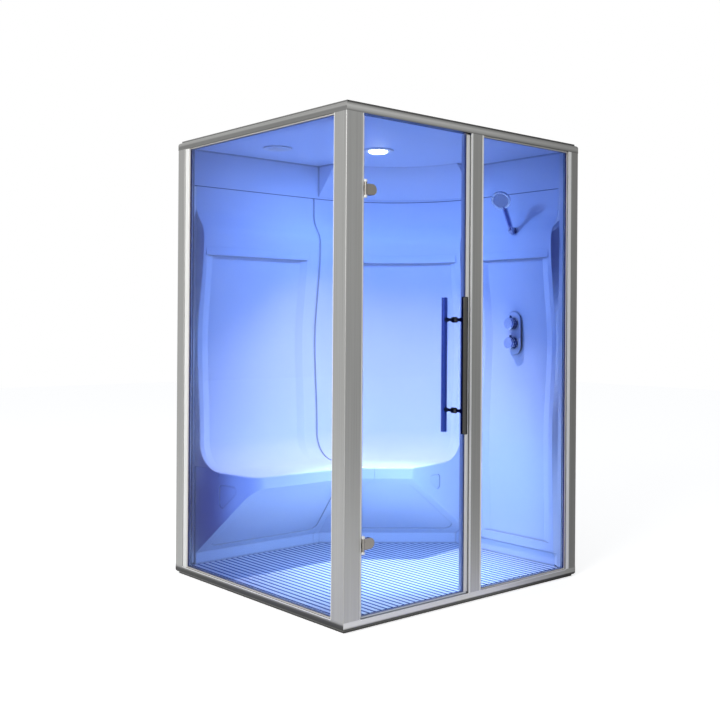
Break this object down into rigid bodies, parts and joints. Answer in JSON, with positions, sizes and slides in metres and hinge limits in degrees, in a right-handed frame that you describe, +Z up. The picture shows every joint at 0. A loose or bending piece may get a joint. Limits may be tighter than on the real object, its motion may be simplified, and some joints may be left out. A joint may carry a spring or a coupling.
{
  "type": "steam room",
  "caption": "Free-standing steam cabin with an aluminium frame, glass side, glass front with hinged door, moulded corner bench, slatted floor, shower and ceiling lamp.",
  "frame": {"origin": "on the floor, under the middle of the frame's footprint", "axes": "+Z up, -Y out of the door, -X out of the fixed glass side"},
  "size_m": [1.5, 1.3625, 2.14],
  "materials": {
    "anodised_aluminium": "satin anodised",
    "cast_aluminium": "as cast",
    "white_plastic": "smooth",
    "glazing_rubber": "matte grey",
    "clear_seal": "clear",
    "glass": "clear toughened",
    "white_acrylic": "gloss moulded",
    "slatted_floor": "matte",
    "outer_panel": "matte composite sheet",
    "stainless_steel": "brushed",
    "chrome": "polished",
    "chromed_plastic": "chrome plated",
    "spray_rubber": "soft grey",
    "opal_diffuser": "opal",
    "circuit_board": "white board",
    "brass": "machined",
    "copper": "drawn tube"
  },
  "bodies": {
    "cabin": {"rail_bottom_front": "anodised_aluminium", "rail_bottom_right": "anodised_aluminium", "rail_bottom_back": "anodised_aluminium", "rail_bottom_left": "anodised_aluminium", "rail_top_front": "anodised_aluminium", "rail_top_right": "anodised_aluminium", "rail_top_back": "anodised_aluminium", "rail_top_left": "anodised_aluminium", "post_front_left": "anodised_aluminium", "post_front_right": "anodised_aluminium", "post_rear_left": "anodised_aluminium", "post_rear_right": "anodised_aluminium", "mullion": "anodised_aluminium", "corner_cleats": "cast_aluminium", "jamb_left": "white_plastic", "vent_grille": "white_plastic", "vent_collar": "white_plastic", "lamp_housing": "white_plastic", "lamp_bezel": "white_plastic", "valve_plate": "white_plastic", "gasket_left": "glazing_rubber", "gasket_front": "glazing_rubber", "door_stop": "glazing_rubber", "glass_left": "glass", "glass_front": "glass", "wall_back": "white_acrylic", "wall_corner": "white_acrylic", "wall_right": "white_acrylic", "roof_liner": "white_acrylic", "base_tray": "white_acrylic", "floor_grating": "slatted_floor", "roof_cover": "outer_panel", "cladding_back": "outer_panel", "cladding_right": "outer_panel", "drain_body": "stainless_steel", "drain_strainer": "stainless_steel", "hinge_pins": "stainless_steel", "steam_pipe": "stainless_steel", "hinge_post_leaves": "chrome", "steam_nozzle": "chrome", "shower_union": "chromed_plastic", "lamp_diffuser": "opal_diffuser", "lamp_led_board": "circuit_board", "valve_body": "brass", "shower_riser": "copper"},
    "door": {"door_glass": "glass", "hinge_clamps_outer": "chrome", "hinge_clamps_inner": "chrome", "hinge_clamp_screws": "stainless_steel", "door_seal_hinge": "clear_seal", "door_seal_latch": "clear_seal", "door_seal_bottom": "clear_seal", "pull_bar_outer": "chrome", "pull_bar_inner": "chrome", "pull_feet": "chrome", "pull_bolts": "stainless_steel"},
    "shower": {"shower_arm": "chromed_plastic", "shower_spray_face": "spray_rubber"},
    "upper_knob": {"knob_upper": "chromed_plastic"},
    "lower_knob": {"knob_lower": "chromed_plastic"}
  },
  "joints": [
    {"name": "door_swing", "type": "hinge", "parent": "cabin", "child": "door", "pos_m": [-0.653, -0.656, 1.0675], "axis": [0, 0, -1], "range_deg": [0, 100]},
    {"name": "shower_tilt", "type": "hinge", "parent": "cabin", "child": "shower", "pos_m": [0.63, -0.325, 1.725], "axis": [0, 1, 0], "range_deg": [-25, 10]},
    {"name": "upper_knob_turn", "type": "hinge", "parent": "cabin", "child": "upper_knob", "pos_m": [0.66, -0.303, 1.2505], "axis": [-1, 0, 0], "range_deg": [0, 90]},
    {"name": "lower_knob_turn", "type": "hinge", "parent": "cabin", "child": "lower_knob", "pos_m": [0.66, -0.303, 1.1495], "axis": [-1, 0, 0], "range_deg": [-60, 120]}
  ]
}
